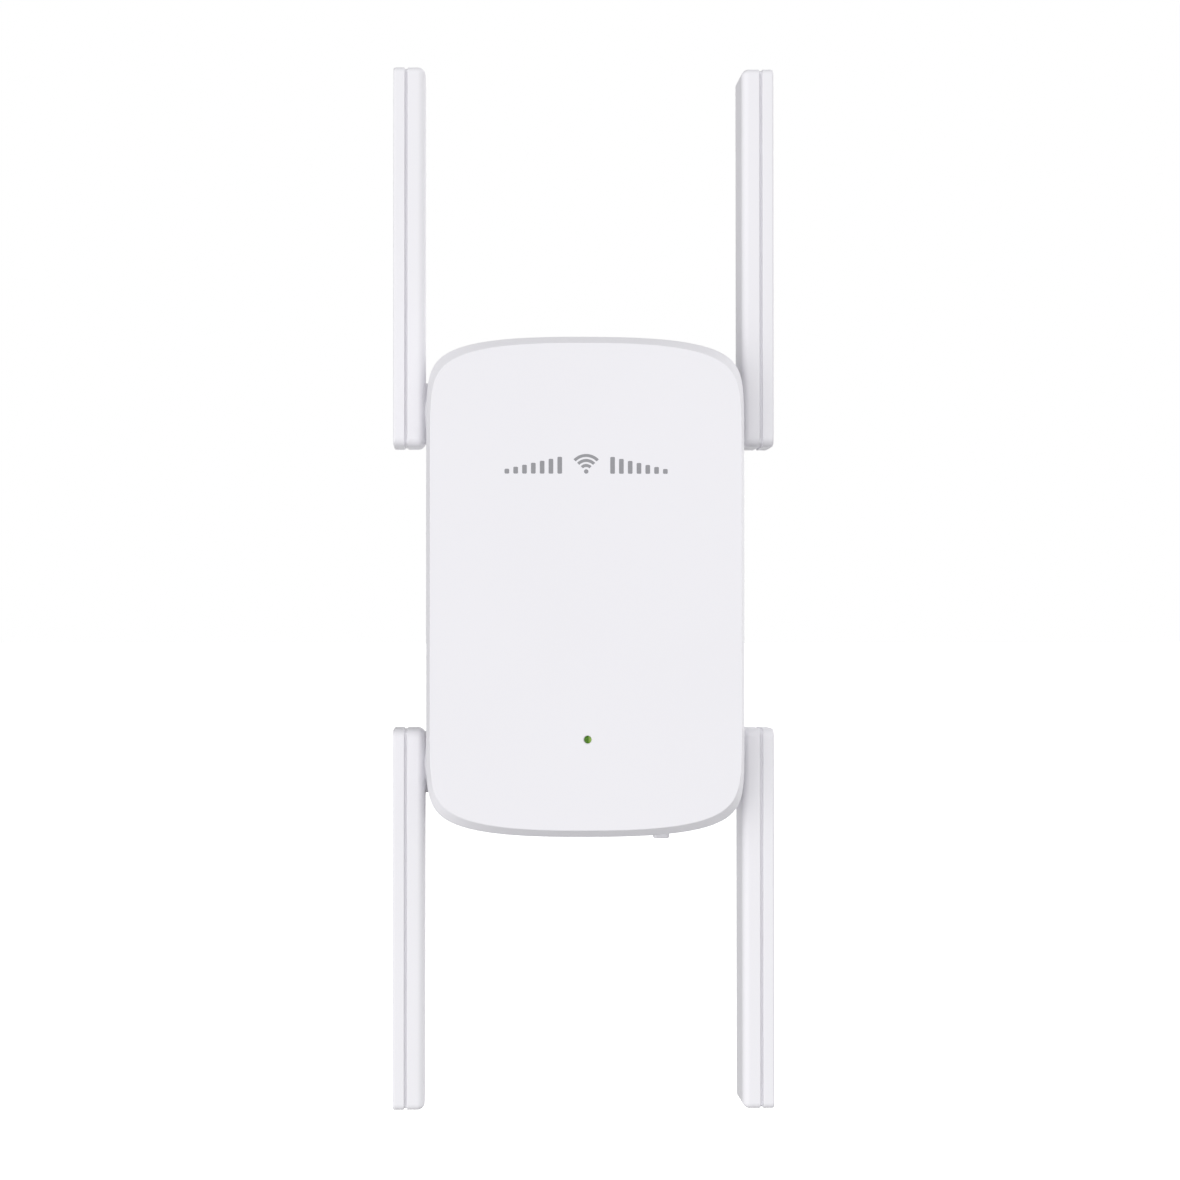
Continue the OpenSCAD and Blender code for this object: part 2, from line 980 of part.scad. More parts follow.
// Coaxial lead from the spindle's end, round a bend and up the blade to the dipole board
module blade_cable() {
    up_x = blade_x0 + blade_skin + 1.5 + 0.8 + coax_r + 0.02;
    top = 27;
    color(black)
        on_hinge_axis() {
            rod_x(spindle_end_x + 0.05, up_x - coax_bend_r, coax_r);
            translate([up_x - coax_bend_r, 0, coax_bend_r])
                rotate([90, 0, 0])
                    rotate([0, 0, -90])
                        rotate_extrude(angle = 90)
                            translate([coax_bend_r, 0])
                                circle(r = coax_r);
            translate([up_x, 0, coax_bend_r])
                cylinder(h = top - coax_bend_r, r = coax_r);
        }
}

// C-shaped clip in the spindle's groove
module hinge_clip() {
    mouth = 5.4;
    color(steel)
        on_hinge_axis()
            difference() {
                rod_x(clip_x, clip_x + clip_t, clip_r);
                rod_x(clip_x - cut, clip_x + clip_t + cut, clip_groove_r + 0.05);
                translate([clip_x - cut, -mouth / 2, 0])
                    cube([clip_t + 2 * cut, mouth, clip_r + cut]);
            }
}

// Ring between the seat and the clip, whose drag holds the antenna where it is set
module friction_ring() {
    color("#8A8D92")
        on_hinge_axis()
            difference() {
                rod_x(ring_x, ring_x + ring_t, ring_r);
                rod_x(ring_x - cut, ring_x + ring_t + cut, spindle_r + spindle_clearance);
            }
}

front_cover();
rear_housing();
plug_base();
plug_pins();
pin_sleeves();
light_pipe();
main_board();
power_board();
board_screws();
ethernet_jack();
jack_insert();
jack_contacts();
lan_transformer();
wifi_processor();
heat_sink();
memory_chip();
radio_shields();
status_led();
tact_switch();
switch_plunger();
button_cap();
coax_plugs();
coax_tails();
board_header();
header_pins();
mains_fuse();
surge_absorber();
bridge_rectifier();
input_capacitors();
mains_choke();
power_controller();
transformer_core();
transformer_winding();
optocoupler();
safety_capacitor();
output_capacitor();
at_hinge(-1, 1) outer_shell();  // upper_left_outer_shell
at_hinge(-1, 1) inner_shell();  // upper_left_inner_shell
at_hinge(-1, 1) radiator();  // upper_left_radiator
at_hinge(-1, 1) blade_cable();  // upper_left_cable
at_hinge(-1, 1) hinge_clip();  // upper_left_clip
at_hinge(-1, 1) friction_ring();  // upper_left_friction_ring
at_hinge(1, 1) outer_shell();  // upper_right_outer_shell
at_hinge(1, 1) inner_shell();  // upper_right_inner_shell
at_hinge(1, 1) radiator();  // upper_right_radiator
at_hinge(1, 1) blade_cable();  // upper_right_cable
at_hinge(1, 1) hinge_clip();  // upper_right_clip
at_hinge(1, 1) friction_ring();  // upper_right_friction_ring
at_hinge(-1, -1) outer_shell();  // lower_left_outer_shell
at_hinge(-1, -1) inner_shell();  // lower_left_inner_shell
at_hinge(-1, -1) radiator();  // lower_left_radiator
at_hinge(-1, -1) blade_cable();  // lower_left_cable
at_hinge(-1, -1) hinge_clip();  // lower_left_clip
at_hinge(-1, -1) friction_ring();  // lower_left_friction_ring
at_hinge(1, -1) outer_shell();  // lower_right_outer_shell
at_hinge(1, -1) inner_shell();  // lower_right_inner_shell
at_hinge(1, -1) radiator();  // lower_right_radiator
at_hinge(1, -1) blade_cable();  // lower_right_cable
at_hinge(1, -1) hinge_clip();  // lower_right_clip
at_hinge(1, -1) friction_ring();  // lower_right_friction_ring
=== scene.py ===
import json
import math

import bmesh
import bpy
import numpy as np
from mathutils import Matrix, Vector


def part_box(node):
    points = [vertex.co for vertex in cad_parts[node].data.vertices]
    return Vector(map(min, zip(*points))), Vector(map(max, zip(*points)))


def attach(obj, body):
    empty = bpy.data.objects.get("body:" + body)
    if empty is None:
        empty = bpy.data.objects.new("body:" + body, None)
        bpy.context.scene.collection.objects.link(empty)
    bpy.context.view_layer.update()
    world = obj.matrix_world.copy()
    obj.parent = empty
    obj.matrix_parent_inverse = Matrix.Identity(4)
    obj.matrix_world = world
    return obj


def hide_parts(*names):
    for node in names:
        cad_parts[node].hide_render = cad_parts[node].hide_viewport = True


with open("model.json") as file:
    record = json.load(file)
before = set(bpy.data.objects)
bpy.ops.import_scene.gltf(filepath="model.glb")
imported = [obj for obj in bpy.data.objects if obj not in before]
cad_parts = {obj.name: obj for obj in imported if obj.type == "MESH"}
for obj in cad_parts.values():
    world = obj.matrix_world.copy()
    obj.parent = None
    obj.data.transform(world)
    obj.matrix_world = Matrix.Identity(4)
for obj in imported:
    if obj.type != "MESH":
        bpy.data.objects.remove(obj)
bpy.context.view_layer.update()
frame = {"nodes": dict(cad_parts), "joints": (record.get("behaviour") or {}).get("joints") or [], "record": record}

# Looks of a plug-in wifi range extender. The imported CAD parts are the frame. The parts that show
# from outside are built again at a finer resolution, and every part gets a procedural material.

# ---------------------------------------------------------------------------------------------
# Sizes, in millimetres
# ---------------------------------------------------------------------------------------------

MM = 0.001


def box_mm(node):
    """Lowest and highest corner of a CAD node, in millimetres."""
    low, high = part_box(node)
    return [v / MM for v in low], [v / MM for v in high]


cover_low, cover_high = box_mm("front_cover")
housing_high = box_mm("rear_housing")[1]
outer_low, outer_high = box_mm("upper_right_outer_shell")
inner_low = box_mm("upper_right_inner_shell")[0]
plug_low, plug_high = box_mm("plug_base")
pins_low, pins_high = box_mm("plug_pins")
sleeves_low, sleeves_high = box_mm("pin_sleeves")
button_low, button_high = box_mm("button_cap")
pipe_low, pipe_high = box_mm("light_pipe")
jack_low, jack_high = box_mm("ethernet_jack")
clip_low, clip_high = box_mm("upper_right_clip")

# Casing. Its outline is |x / half width| ^ SIDE_POWER + |z / half height| ^ END_POWER = 1, and
# END_POWER drops by FACE_FADE across the cover's sloped border, so the face's corners are rounder.
OUTLINE_POINTS = 420
OUTLINE_SAMPLES = 16 * OUTLINE_POINTS + 1
SIDE_POWER = 2.6
END_POWER = 17
FACE_FADE = 2
WALL = 2.0
COVER_DRAFT = 0.1
BORDER = np.array([0.9, 1.8])  # its width at the sides and at the ends
BORDER_DEPTH = 3.5
HOUSING_EDGE_R = 4.0
HOUSING_DRAFT = 0.3
SEAM_GAP = 0.3
LIP_GAP = 0.2
LIP_WALL = (1.3, 1.0)
LIP_H = 3.0
FLOOR = 2.2
RIM_R = 0.25
OVERLAP = 0.3  # how far an added shape reaches into the wall that it joins
front_y = cover_low[1]
seam_y = cover_high[1]
back_y = housing_high[1]
floor_y = back_y - FLOOR
cover_half = np.array([cover_high[0], cover_high[2]])
housing_half = np.array([housing_high[0], housing_high[2]])
cavity_half = cover_half - WALL
lip_half = cavity_half - LIP_GAP
housing_cavity_half = lip_half - LIP_WALL

# Blades: the inner shell's box also holds its spindle, so its face is found from the cover's side
BLADE_GAP = 0.2
GROOVE_W = 0.7
GROOVE_D = 1.0
GROOVE_END_D = 0.35
BLADE_WALL = 1.8
BLADE_SKIN = 1.3
TONGUE = 0.8
TONGUE_GAP = 0.05
RIBS = (30, 70)
RIB_T = 1.2
RIB_H = 1.5
INNER_EDGE_R = 2.0
OUTER_EDGE_R = 0.6
ROOT_R = 2.4
TIP_R = 1.6
GROOVE_LIP_R = 0.2
FILLET = 0.3
LEAST_R = 0.3  # of a ring that is drawn in by more than its corners' radius
blade_x0 = cover_high[0] + BLADE_GAP
blade_x1 = outer_high[0]
groove_x = outer_low[0]
blade_y = (outer_low[1], outer_high[1])
blade_z = (outer_low[2], outer_high[2])
hinge = next(joint for joint in frame["joints"] if joint["name"] == "upper_right_hinge")
seat_x, hinge_y, hinge_z = [v / MM for v in hinge["pos_m"]]
SEAT_R = 8.3
SEAT_LEN = 4.0
BOSS_R = 7.9
BOSS_GAP = 0.1
SPINDLE_R = 4.52
SPINDLE_CLEARANCE = 0.08
SPINDLE_BORE_R = 2.6
CLIP_GROOVE_R = 3.6
END_PLAY = 0.05
STOP_R = (5.8, 7.0)
STOP_H = 0.9
STOP_ANGLE = 225
STOP_HALF = 8
STOP_PLAY = 0.5
STOP_CLEARANCE = 0.15
TRAVEL = 90

# Plug
PIN_X = 9.5
PIN_CORE_R = 1.3
SLEEVE_R = 1.75
PIN_R = 2.0
FLANGE_T = 1.4
FLANGE_RIM = 1.5
PLUG_GAP = 0.05
plug_r = -plug_low[2] - FLANGE_RIM
plug_reach = -plug_low[0] - FLANGE_RIM - plug_r

# Posts, button, network port, vents and light
POSTS = (29, 28)  # distance from the middle to each side, and up and down
POST_R = 2.8
STANDOFFS = (21, 27)
STANDOFF_R = 2.5
PILOT_R = 0.9
PILOT_DEPTH = 9
PILOT_SKIN = 0.7
BUTTON_SIZE = (4.1, 3.0)
BUTTON_R = 0.9
BUTTON_GAP = 0.15
BUTTON_FLANGE = (5.8, 5.0)
BUTTON_FLANGE_T = 0.8
button_x = (button_low[0] + button_high[0]) / 2
button_y = (button_low[1] + button_high[1]) / 2
JACK_GAP = 0.3
JACK_DEPTH = 12
VENT_ROWS = 6
VENT_PITCH = 3.6
VENT_FIRST = 19
VENT_SIZE = (30, 1.6)
VENT_R = 0.7
TOP_SLOTS = 9
TOP_PITCH = 4
TOP_SIZE = (1.6, 11)
TOP_DEPTH = 4
light_x = (pipe_low[0] + pipe_high[0]) / 2
light_z = (pipe_low[2] + pipe_high[2]) / 2
LIGHT_R = 0.9
LIGHT_GAP = 0.05
LIGHT_FOOT = (1.8, 1.6)  # radius and height

# ---------------------------------------------------------------------------------------------
# Mesh helpers. Points are in millimetres.
# ---------------------------------------------------------------------------------------------


def make_object(name, points, faces):
    mesh = bpy.data.meshes.new(name)
    mesh.from_pydata([[v * MM for v in p] for p in points], [], faces)
    work = bmesh.new()
    work.from_mesh(mesh)
    bmesh.ops.recalc_face_normals(work, faces=work.faces)
    work.to_mesh(mesh)
    work.free()
    obj = bpy.data.objects.new(name, mesh)
    bpy.context.scene.collection.objects.link(obj)
    return obj


def loft(name, rings):
    """Closed skin through rings of points, with a flat cap at each end."""
    count = len(rings[0])
    points = [p for ring in rings for p in ring]
    faces = []
    for row in range(len(rings) - 1):
        for i in range(count):
            a = row * count + i
            b = row * count + (i + 1) % count
            faces.append((a, b, b + count, a + count))
    last = (len(rings) - 1) * count
    faces.append(tuple(range(count)))
    faces.append(tuple(range(last, last + count)))
    return make_object(name, points, faces)


def superellipse(half, power=END_POWER):
    """Evenly spaced (x, z) points of the casing's outline. A lower power rounds its corners
    more."""
    turn = np.linspace(0, 2 * math.pi, OUTLINE_SAMPLES)
    c, s = np.cos(turn), np.sin(turn)
    x = half[0] * np.sign(c) * np.abs(c) ** (2 / SIDE_POWER)
    z = half[1] * np.sign(s) * np.abs(s) ** (2 / power)
    steps = np.hypot(np.diff(x), np.diff(z))
    length = np.concatenate([[0], np.cumsum(steps)])
    even = np.linspace(0, length[-1], OUTLINE_POINTS, endpoint=False)
    return np.column_stack([np.interp(even, length, x), np.interp(even, length, z)])


def casing_ring(half, inset, y, power=END_POWER):
    return [(x, y, z) for x, z in superellipse(half - inset, power)]


def rounded_rect(u0, u1, v0, v1, low_r, high_r, steps=10):
    """Points of a rectangle whose corners at v0 and at v1 have their own radii."""
    points = []
    corners = (
        (u1, v0, low_r, 270), (u1, v1, high_r, 0), (u0, v1, high_r, 90), (u0, v0, low_r, 180),
    )
    for u, v, r, start in corners:
        cu = u - r if u == u1 else u + r
        cv = v + r if v == v0 else v - r
        for i in range(steps + 1):
            a = math.radians(start + 90 * i / steps)
            points.append((cu + r * math.cos(a), cv + r * math.sin(a)))
    return points


def blade_ring(inset, x, end_inset=None):
    """A blade's side outline at one place along X, drawn in by inset, or by end_inset at the root
    and the tip."""
    end = inset if end_inset is None else end_inset
    outline = rounded_rect(
        blade_y[0] + inset,
        blade_y[1] - inset,
        blade_z[0] + end,
        blade_z[1] - end,
        max(ROOT_R - inset, LEAST_R),
        max(TIP_R - inset, LEAST_R),
    )
    return [(x, y, z) for y, z in outline]


def oval(rim, steps=24):
    """(x, z) points of the plug's flat-sided oval, grown by rim."""
    r = plug_r + rim
    points = []
    for side, start in ((1, -90), (-1, 90)):
        for i in range(steps + 1):
            a = math.radians(start + 180 * i / steps)
            points.append((side * plug_reach + r * math.cos(a), r * math.sin(a)))
    return points


def edge(r, steps=10):
    """(inset, distance from the flat face) along a rounded edge, from the face to the side."""
    turn_shade_and_relief = [math.radians(90 * i / steps) for i in range(steps + 1)]
    return [(r * (1 - math.sin(t)), r * (1 - math.cos(t))) for t in turn_shade_and_relief]


def lathe(name, profile, axis, centre, segments=96):
    """Solid of revolution. The profile holds (place along axis, radius), and ends on the axis."""
    rings = []
    for along, r in profile:
        ring = []
        for i in range(segments):
            a = 2 * math.pi * i / segments
            across = (r * math.cos(a), r * math.sin(a))
            ring.append(place(axis, along, across, centre))
        rings.append(ring)
    return loft(name, rings)


def place(axis, along, across, centre):
    """Point at a distance along one axis, and offsets from the centre on the other two."""
    point = list(centre)
    others = [i for i in range(3) if i != axis]
    point[axis] = along
    point[others[0]] += across[0]
    point[others[1]] += across[1]
    return tuple(point)


def prism(name, outlines, axis):
    """Solid through (place, outline) pairs, whose outlines lie square to the axis."""
    rings = [[place(axis, along, p, (0, 0, 0)) for p in outline] for along, outline in outlines]
    return loft(name, rings)


def flared_slot(name, axis, u, v, size, inside, face, r):
    """Cutter for a slot whose mouth at the outer face has a small chamfer."""
    chamfer = 0.3
    sign = 1 if face > inside else -1

    def at(grow):
        a, b = size[0] / 2 + grow, size[1] / 2 + grow
        return rounded_rect(u - a, u + a, v - b, v + b, r + grow, r + grow, 8)

    outlines = [(inside, at(0)), (face - sign * chamfer, at(0))]
    outlines += [(face + sign * 2 * chamfer, at(3 * chamfer))]
    return prism(name, outlines, axis)


def sector(name, r0, r1, start, sweep, x0, x1, steps):
    """Piece of a ring around the hinge axis."""
    angles = [math.radians(start + sweep * i / steps) for i in range(steps + 1)]
    arc = [(r1 * math.cos(a), r1 * math.sin(a)) for a in angles]
    arc += [(r0 * math.cos(a), r0 * math.sin(a)) for a in reversed(angles)]
    rings = [[(x, hinge_y + p[0], hinge_z + p[1]) for p in arc] for x in (x0, x1)]
    return loft(name, rings)


def mirrored(source, name, side, level):
    """Copy of an object built for the upper right hinge, at another hinge."""
    mesh = source.data.copy()
    mesh.name = name
    mesh.transform(Matrix.Diagonal((side, 1, level, 1)))
    if side * level < 0:
        mesh.flip_normals()
    obj = bpy.data.objects.new(name, mesh)
    bpy.context.scene.collection.objects.link(obj)
    return obj


def joined(parts):
    """One object that holds the meshes of several."""
    work = bmesh.new()
    for part in parts:
        work.from_mesh(part.data)
    for part in parts[1:]:
        bpy.data.objects.remove(part)
    work.to_mesh(parts[0].data)
    work.free()
    return parts[0]


def combine(obj, parts, operation):
    """Adds parts to an object, or cuts them from it."""
    other = joined(parts)
    modifier = obj.modifiers.new("combine", "BOOLEAN")
    modifier.operation = operation
    modifier.solver = "EXACT"
    modifier.object = other
    shown = obj.evaluated_get(bpy.context.evaluated_depsgraph_get())
    mesh = bpy.data.meshes.new_from_object(shown)
    obj.modifiers.clear()
    obj.data = mesh
    bpy.data.objects.remove(other)


def finish_mesh(obj, sharp_angle=32):
    """Smooth shading between sharp edges, with normals that keep flat faces flat."""
    same_place = 0.0005 * MM
    sharp = math.radians(sharp_angle)
    work = bmesh.new()
    work.from_mesh(obj.data)
    bmesh.ops.remove_doubles(work, verts=work.verts, dist=same_place)
    bmesh.ops.dissolve_degenerate(work, edges=work.edges, dist=same_place)
    for face in work.faces:
        face.smooth = True
    for line in work.edges:
        line.smooth = len(line.link_faces) == 2 and line.calc_face_angle() < sharp
    work.to_mesh(obj.data)
    work.free()
    modifier = obj.modifiers.new("normals", "WEIGHTED_NORMAL")
    modifier.keep_sharp = True


def piece(obj, name, body, slot, material, *nodes):
    """Names an object, gives it its finish and has it ride on a CAD body in place of CAD nodes."""
    obj.name = name
    obj.data.name = name
    obj.data.materials.clear()
    obj.data.materials.append(material)
    finish_mesh(obj)
    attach(obj, body)
    if nodes:
        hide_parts(*nodes)
    return obj


# ---------------------------------------------------------------------------------------------
# Materials
# ---------------------------------------------------------------------------------------------


def add(tree, kind, inputs=None, **settings):
    """New shader node. Inputs are values, or the outputs of other nodes."""
    node = tree.nodes.new("ShaderNode" + kind)
    for key, value in settings.items():
        setattr(node, key, value)
    for key, value in (inputs or {}).items():
        if isinstance(value, bpy.types.NodeSocket):
            tree.links.new(value, node.inputs[key])
        else:
            node.inputs[key].default_value = value
    return node


def new_material(name):
    material = bpy.data.materials.new(name)
    material.use_nodes = True
    tree = material.node_tree
    coords = add(tree, "TexCoord").outputs["Object"]
    return material, tree, tree.nodes["Principled BSDF"], coords


def noise(tree, coords, size, detail=2.0):
    """Noise, 0 to 1, whose features are about size millimetres wide."""
    inputs = {"Vector": coords, "Scale": 1 / (size * MM), "Detail": detail}
    return add(tree, "TexNoise", inputs).outputs["Fac"]


def ramp(tree, value, low, high, start=0.0, end=1.0):
    """Maps value from start..end to low..high, clamped."""
    inputs = {"Value": value, "From Min": start, "From Max": end, "To Min": low, "To Max": high}
    return add(tree, "MapRange", inputs).outputs["Result"]


def maths(tree, operation, a, b):
    return add(tree, "Math", {0: a, 1: b}, operation=operation).outputs[0]


def mix(tree, factor, a, b):
    """Mixes two colours."""
    inputs = {0: factor, 6: a, 7: b}
    return add(tree, "Mix", inputs, data_type="RGBA").outputs[2]


def shade(color, factor):
    return tuple(min(1.0, c * factor) for c in color[:3]) + (1.0,)


def connect(tree, shader, **sockets):
    for key, value in sockets.items():
        tree.links.new(value, shader.inputs[key.replace("_", " ")])


def bump(tree, height, depth, normal=None):
    """Bump whose relief is depth millimetres."""
    inputs = {"Height": height, "Distance": depth * MM, "Strength": 1.0}
    if normal:
        inputs["Normal"] = normal
    return add(tree, "Bump", inputs).outputs["Normal"]


def edge_mask(tree, width):
    """1 on edges and 0 on flats, from how far a rounded normal turns away from the real one."""
    rounded = add(tree, "Bevel", {"Radius": width * MM}, samples=4).outputs["Normal"]
    real = add(tree, "NewGeometry").outputs["Normal"]
    turn = add(tree, "VectorMath", {0: rounded, 1: real}, operation="DOT_PRODUCT").outputs["Value"]
    on_edge, on_flat = 0.9, 0.995
    return ramp(tree, turn, 1.0, 0.0, on_edge, on_flat)


def plastic(name, color, roughness=0.4, grain=0.25, depth=0.003, drift=0.012, rub=0.05):
    """Moulded plastic: fine mould texture, slow drift of tone and gloss, and edges rubbed
    smoother."""
    drift_size, smear_size, wave_size, wave_depth, edge_width = 45, 6, 18, 0.01, 0.5
    material, tree, shader, coords = new_material(name)
    slow = noise(tree, coords, drift_size, 1)
    fine = noise(tree, coords, grain, 3)
    smear = noise(tree, coords, smear_size, 3)
    uneven = (edge_mask(tree, edge_width), ramp(tree, smear, 0.3, 1.0, 0.35, 0.65))
    edges = maths(tree, "MULTIPLY", *uneven)
    tone = mix(tree, slow, shade(color, 1 - drift), shade(color, 1 + drift))
    tone = mix(tree, maths(tree, "MULTIPLY", edges, 0.25), tone, shade(color, 1 + 2 * drift))
    gloss = ramp(tree, smear, roughness - 0.04, roughness + 0.04, 0.3, 0.7)
    gloss = maths(tree, "ADD", gloss, ramp(tree, fine, -0.03, 0.03))
    gloss = maths(tree, "SUBTRACT", gloss, maths(tree, "MULTIPLY", edges, rub))
    waves = bump(tree, noise(tree, coords, wave_size, 1), wave_depth)
    relief = bump(tree, fine, depth, waves)
    connect(tree, shader, Base_Color=tone, Roughness=gloss, Normal=relief)
    shader.inputs["IOR"].default_value = 1.5
    return material


def metal(name, color, roughness=0.3, stretch=(1, 1, 1), depth=0.002, grime=0.25):
    """Metal with fine draw marks along the axis whose stretch is least, dull patches and brighter
    edges."""
    line_size, patch_size, edge_width = 0.12, 2.5, 0.15
    material, tree, shader, coords = new_material(name)
    drawn = add(tree, "Mapping", {"Vector": coords, "Scale": stretch}).outputs["Vector"]
    lines = noise(tree, drawn, line_size, 4)
    patches = noise(tree, coords, patch_size, 4)
    dull = ramp(tree, patches, 0.0, 1.0, 0.35, 0.7)
    tone = mix(tree, dull, shade(color, 1.0), shade(color, 1 - grime))
    bright = maths(tree, "MULTIPLY", edge_mask(tree, edge_width), 0.5)
    tone = mix(tree, bright, tone, shade(color, 1.25))
    gloss = ramp(tree, patches, roughness - 0.06, roughness + 0.12)
    gloss = maths(tree, "ADD", gloss, ramp(tree, lines, -0.05, 0.05))
    connect(tree, shader, Base_Color=tone, Roughness=gloss, Normal=bump(tree, lines, depth))
    shader.inputs["Metallic"].default_value = 1.0
    return material


def circuit_board(name):
    """Green solder mask with copper tracks just visible under it, and tinned pads."""
    block_size, pad_pitch, rings_per_block, relief_depth = 7, 4.5, 7.0, 0.035
    material, tree, shader, coords = new_material(name)
    flat = add(tree, "Mapping", {"Vector": coords, "Scale": (1, 0.02, 1)}).outputs["Vector"]
    inputs = {"Vector": flat, "Scale": 1 / (block_size * MM), "Randomness": 0.9}
    blocks = add(tree, "TexVoronoi", inputs, distance="CHEBYCHEV").outputs["Distance"]
    rings = maths(tree, "FRACT", maths(tree, "MULTIPLY", blocks, rings_per_block), 0.0)
    tracks = ramp(tree, rings, 0.0, 1.0, 0.52, 0.6)
    inputs = {"Vector": flat, "Scale": 1 / (pad_pitch * MM), "Randomness": 1.0}
    holes = add(tree, "TexVoronoi", inputs)
    pads = ramp(tree, holes.outputs["Distance"], 1.0, 0.0, 0.09, 0.11)
    weave = noise(tree, coords, 0.4, 2)
    mask = mix(tree, tracks, (0.012, 0.085, 0.03, 1), (0.03, 0.16, 0.055, 1))
    mask = mix(tree, maths(tree, "MULTIPLY", weave, 0.25), mask, (0.02, 0.12, 0.05, 1))
    tone = mix(tree, pads, mask, (0.62, 0.6, 0.55, 1))
    relief = maths(tree, "ADD", tracks, maths(tree, "MULTIPLY", pads, 0.5))
    gloss = ramp(tree, weave, 0.28, 0.4)
    relief = bump(tree, relief, relief_depth)
    connect(tree, shader, Base_Color=tone, Roughness=gloss, Metallic=pads, Normal=relief)
    return material


def dipole_board(name):
    """Green board with two tinned copper strips, for the aerials inside the blades."""
    strip_offset, strip_half, soft_edge, copper_depth = 1.5, 0.9, 0.15, 0.035
    material, tree, shader, coords = new_material(name)
    split = add(tree, "SeparateXYZ", {0: coords})
    across = maths(tree, "SUBTRACT", split.outputs["Y"], hinge_y * MM)
    from_strip = maths(tree, "SUBTRACT", maths(tree, "ABSOLUTE", across, 0), strip_offset * MM)
    strip = maths(tree, "ABSOLUTE", from_strip, 0)
    copper = ramp(tree, strip, 1.0, 0.0, strip_half * MM, (strip_half + soft_edge) * MM)
    grain = noise(tree, coords, 0.5, 3)
    mask = mix(tree, grain, (0.012, 0.09, 0.035, 1), (0.02, 0.13, 0.05, 1))
    tone = mix(tree, copper, mask, (0.7, 0.55, 0.32, 1))
    gloss = ramp(tree, grain, 0.25, 0.45)
    relief = bump(tree, copper, copper_depth)
    connect(tree, shader, Base_Color=tone, Roughness=gloss, Metallic=copper, Normal=relief)
    return material


def wound(name, color, pitch, vector_scale, metallic=0.6):
    """Turns of enamelled wire or tape laid side by side, with painted shade between the turns and a painted
    highlight along each.
    """
    material, tree, shader, coords = new_material(name)
    laid = add(tree, "Mapping", {"Vector": coords, "Scale": vector_scale}).outputs["Vector"]
    wave_scale = 1 / (pitch * MM) / 6.28
    inputs = {"Vector": laid, "Scale": wave_scale, "Distortion": 0.4, "Detail": 1.0}
    turn_shade_and_relief = add(tree, "TexWave", inputs).outputs["Fac"]
    patches = noise(tree, coords, 1.5, 3)
    # Painted shade in the dark bands between the turns and a painted highlight on the light bands; the same bands
    # drive the bump relief.
    tone = mix(tree, turn_shade_and_relief, shade(color, 0.45), shade(color, 1.1))
    tone = mix(tree, maths(tree, "MULTIPLY", patches, 0.3), tone, shade(color, 0.7))
    gloss = ramp(tree, patches, 0.22, 0.42)
    connect(tree, shader, Base_Color=tone, Roughness=gloss, Normal=bump(tree, turn_shade_and_relief, 0.12))
    shader.inputs["Metallic"].default_value = metallic
    return material


def light_pipe_material(name):
    """Green moulding, dimly lit from behind and brighter to the right."""
    dark, bright, cloudy = (0.045, 0.15, 0.001, 1), (0.34, 0.52, 0.12, 1), (0.2, 0.28, 0.12, 1)
    material, tree, shader, coords = new_material(name)
    split = add(tree, "SeparateXYZ", {0: coords})
    bright_x = light_x + 0.9 * LIGHT_R
    side = ramp(tree, split.outputs["X"], 0.0, 1.0, light_x * MM, bright_x * MM)
    cloud = noise(tree, coords, 0.7, 3)
    tone = mix(tree, side, dark, bright)
    tone = mix(tree, ramp(tree, cloud, 0.0, 0.35, 0.45, 0.7), tone, cloudy)
    gloss = ramp(tree, cloud, 0.1, 0.25)
    connect(tree, shader, Base_Color=tone, Roughness=gloss, Emission_Color=tone)
    shader.inputs["Emission Strength"].default_value = 0.15
    shader.inputs["Specular IOR Level"].default_value = 0.18
    return material


def print_material(name):
    """Pad-printed grey ink, slightly uneven."""
    material, tree, shader, coords = new_material(name)
    speckle = noise(tree, coords, 0.35, 4)
    tone = mix(tree, speckle, (0.27, 0.27, 0.29, 1), (0.33, 0.33, 0.35, 1))
    gloss = ramp(tree, speckle, 0.45, 0.6)
    connect(tree, shader, Base_Color=tone, Roughness=gloss, Normal=bump(tree, speckle, 0.002))
    return material


WHITE = (0.86, 0.852, 0.885)
JET = (0.025, 0.025, 0.028)
casing_front = plastic("casing_front", WHITE, roughness=0.42, grain=0.18, depth=0.0015)
casing_rear = plastic("casing_rear", shade(WHITE, 0.985), roughness=0.5, grain=0.3, depth=0.006)
antenna_white = plastic("antenna_white", WHITE, roughness=0.4, grain=0.22, depth=0.002)
button_white = plastic(
    "button_white", shade(WHITE, 0.95), roughness=0.45, grain=0.2, depth=0.003)
sleeve_black = plastic("sleeve_black", JET, roughness=0.4, drift=0.15, depth=0.002)
pin_metal = metal("pin_metal", (0.72, 0.71, 0.69), 0.2, stretch=(12, 1, 12), grime=0.12)
ink = print_material("print_grey")
light_green = light_pipe_material("light_pipe")

